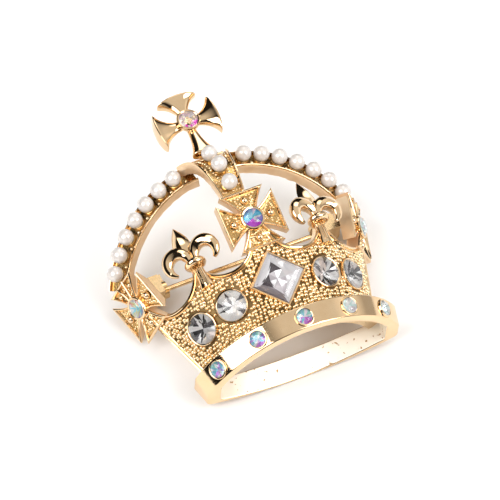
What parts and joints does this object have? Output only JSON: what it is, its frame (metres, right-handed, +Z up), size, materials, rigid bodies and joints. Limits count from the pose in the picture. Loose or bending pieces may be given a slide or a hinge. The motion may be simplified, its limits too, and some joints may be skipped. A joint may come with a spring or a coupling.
{
  "type": "crown brooch",
  "caption": "Domed royal crown brooch with pearl-set arches, crosses and fleurs-de-lis, on a bar pin with a roll-over safety catch.",
  "frame": {"origin": "middle of the footprint on the surface that the brooch lies on", "axes": "+Z up from the table that it lies on, face up; +Y towards the crown's top; +X to the right seen from its front. The crown's own upright leans 8.4 degrees up from +Y, because it rests on its rear bar and its side crosses."},
  "size_m": [0.0428, 0.0484, 0.0205],
  "materials": {
    "polished_gilt": "bright gold plate over a zinc casting, mirror polished, with a fine cast texture in its hollows",
    "granulated_gilt": "gold plate over a closely granulated cast ground between raised polished rims",
    "pin_wire": "gold-plated drawn wire, smooth satin",
    "catch_gilt": "gold-plated turned catch, lightly brushed",
    "clear_crystal": "faceted foil-backed clear crystal",
    "smoky_crystal": "step-cut pale smoky crystal with a mirror back",
    "aurora_crystal": "faceted crystal with an iridescent coating, cyan to magenta",
    "pearl": "cream imitation pearl with a soft nacre lustre"
  },
  "bodies": {
    "crown": {"arch_centre": "granulated_gilt", "arch_left": "granulated_gilt", "arch_right": "granulated_gilt", "band_stone_1": "aurora_crystal", "band_stone_2": "aurora_crystal", "band_stone_3": "aurora_crystal", "band_stone_4": "aurora_crystal", "band_stone_5": "aurora_crystal", "base_ring": "polished_gilt", "catch_housing": "polished_gilt", "cross_centre": "polished_gilt", "cross_left": "polished_gilt", "cross_right": "polished_gilt", "cross_stone_centre": "aurora_crystal", "cross_stone_left": "aurora_crystal", "cross_stone_right": "aurora_crystal", "cross_stone_top": "aurora_crystal", "crown_wall": "granulated_gilt", "far_left_stone": "clear_crystal", "far_right_stone": "clear_crystal", "fleur_left": "polished_gilt", "fleur_right": "polished_gilt", "hinge_bracket": "polished_gilt", "hinge_rivet": "pin_wire", "left_stone": "clear_crystal", "pearl_centre_1": "pearl", "pearl_centre_2": "pearl", "pearl_centre_3": "pearl", "pearl_left_1": "pearl", "pearl_left_2": "pearl", "pearl_left_3": "pearl", "pearl_left_4": "pearl", "pearl_left_5": "pearl", "pearl_left_6": "pearl", "pearl_left_7": "pearl", "pearl_right_1": "pearl", "pearl_right_2": "pearl", "pearl_right_3": "pearl", "pearl_right_4": "pearl", "pearl_right_5": "pearl", "pearl_right_6": "pearl", "pearl_right_7": "pearl", "right_stone": "clear_crystal", "square_stone": "smoky_crystal", "top_cross": "polished_gilt"},
    "pin": {"pin_stem": "pin_wire"},
    "rotor": {"catch_rotor": "catch_gilt"}
  },
  "joints": [
    {"name": "pin_hinge", "type": "hinge", "parent": "crown", "child": "pin", "pos_m": [0.0146, 0.00088, 0.00227], "axis": [0, -0.9893, -0.1461], "range_deg": [0, 65]},
    {"name": "catch_turn", "type": "hinge", "parent": "crown", "child": "rotor", "pos_m": [-0.0143, 0.00088, 0.00227], "axis": [1, 0, 0], "range_deg": [0, 120]}
  ]
}
